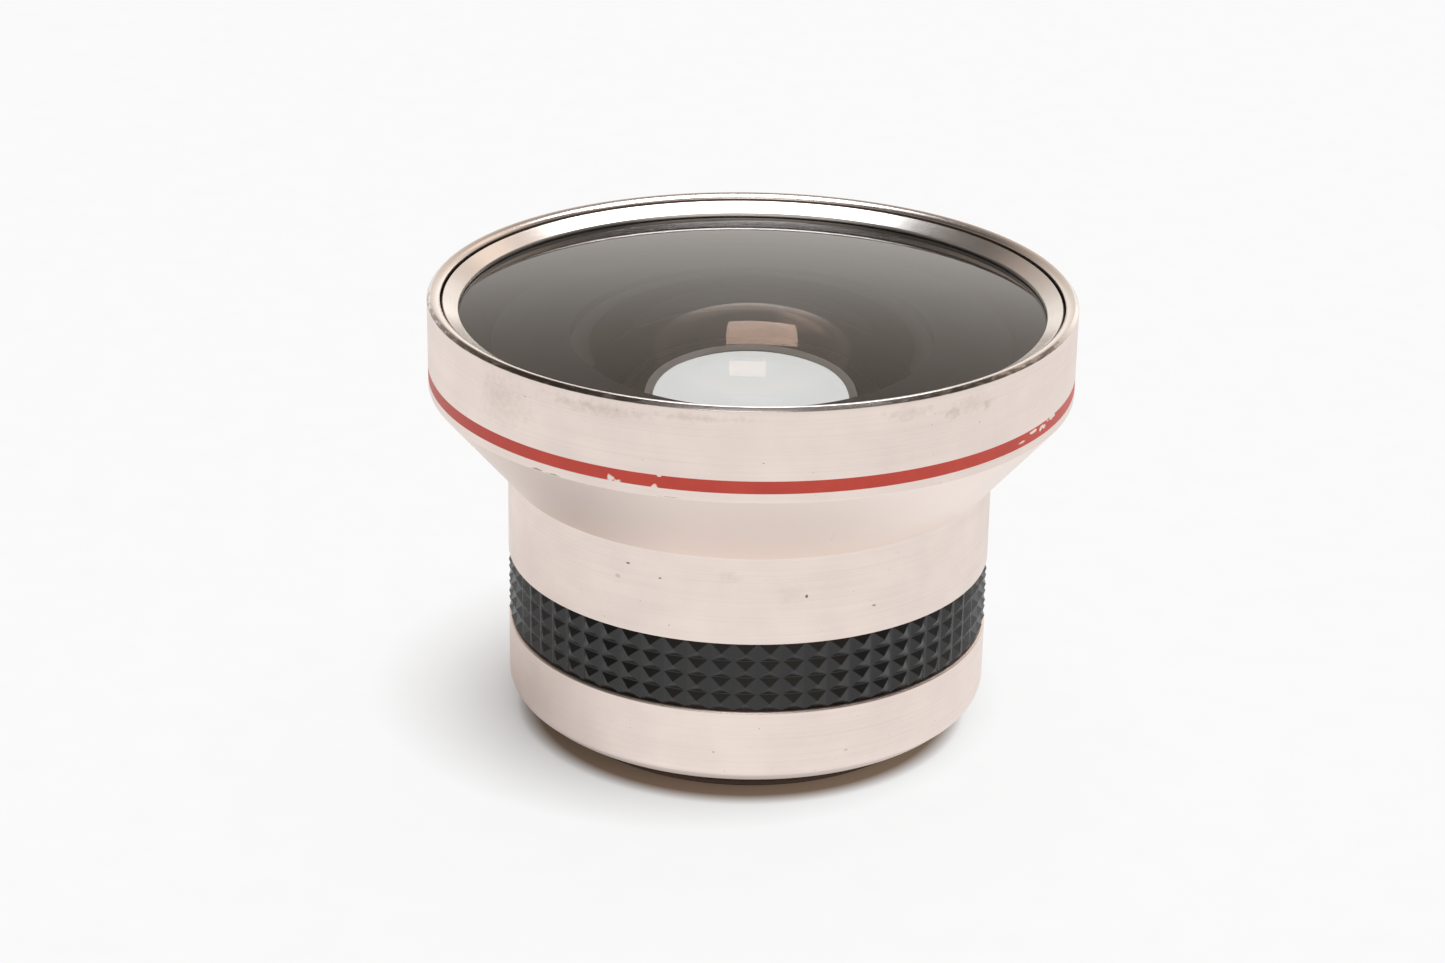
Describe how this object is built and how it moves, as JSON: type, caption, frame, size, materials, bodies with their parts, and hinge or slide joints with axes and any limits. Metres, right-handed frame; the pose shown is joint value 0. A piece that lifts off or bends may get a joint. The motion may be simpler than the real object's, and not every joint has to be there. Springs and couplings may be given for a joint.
{
  "type": "wide-angle conversion lens",
  "caption": "Wide-angle conversion lens: flared satin metal barrel, large front glass under a screwed ring, studded rubber grip and a rear filter thread.",
  "frame": {"origin": "on the lens's axis, in the plane of the rear thread's end face, on which the lens stands", "axes": "+Z along the optical axis from the rear thread to the front glass; X and Y are free, because the lens is turned, and the picture's camera is on the -Y side"},
  "size_m": [0.085, 0.085, 0.0595],
  "materials": {
    "satin_nickel_metal": "turned aluminium with a satin champagne plating, worn at the rim",
    "plain_aluminium": "plain turned aluminium",
    "black_anodised_metal": "black anodised",
    "baffle_black": "matt black light trap",
    "optical_glass": "polished optical glass",
    "black_rubber": "moulded rubber with rows of pyramids"
  },
  "bodies": {
    "root": {"front_shell": "satin_nickel_metal", "rear_shell": "satin_nickel_metal", "front_retaining_ring": "satin_nickel_metal", "front_element": "optical_glass", "front_mask_ring": "baffle_black", "light_baffle": "baffle_black", "rear_cell": "black_anodised_metal", "rear_crown_element": "optical_glass", "rear_flint_element": "optical_glass", "rear_retaining_ring": "plain_aluminium", "mount_ring": "black_anodised_metal", "grip_sleeve": "black_rubber"}
  },
  "joints": []
}
